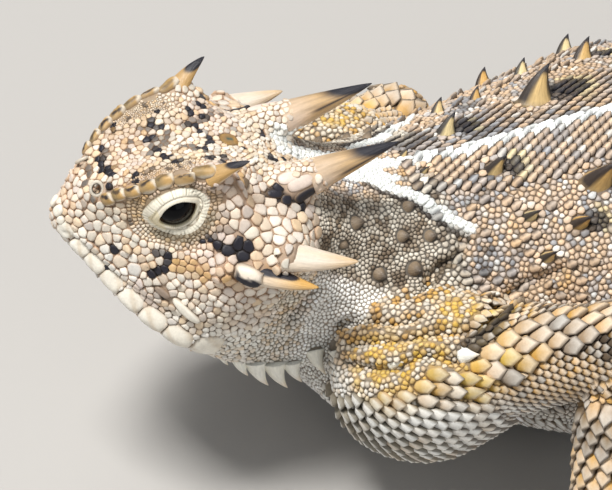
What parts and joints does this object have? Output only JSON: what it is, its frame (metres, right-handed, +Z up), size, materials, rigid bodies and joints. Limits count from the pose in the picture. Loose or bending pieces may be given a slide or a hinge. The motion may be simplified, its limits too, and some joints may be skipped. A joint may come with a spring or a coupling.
{
  "type": "horned lizard model",
  "caption": "Life-size still model of a horned lizard standing with its head raised, with spines, fringe and horns.",
  "frame": {"origin": "on the floor under the middle of the model's box", "axes": "+Z up, -Y the way the snout points, +X the animal's left"},
  "size_m": [0.0845, 0.1322, 0.0366],
  "materials": {
    "skin": "matt scaled hide, sand and grey with white and black marks",
    "horn": "ridged horn, ochre with dark tips",
    "eye": "wet dark eye"
  },
  "bodies": {
    "root": {"head": "skin", "neck": "skin", "torso": "skin", "tail": "skin", "upper_arm_left": "skin", "upper_arm_right": "skin", "forearm_left": "skin", "forearm_right": "skin", "hand_left": "skin", "hand_right": "skin", "thigh_left": "skin", "thigh_right": "skin", "shank_left": "skin", "shank_right": "skin", "foot_left": "skin", "foot_right": "skin", "occipital_horn_left": "horn", "occipital_horn_right": "horn", "brow_horn_left": "horn", "brow_horn_right": "horn", "temporal_horn_3_left": "horn", "temporal_horn_3_right": "horn", "temporal_horn_2_left": "horn", "temporal_horn_2_right": "horn", "eye_left": "eye", "eye_right": "eye"}
  },
  "joints": []
}
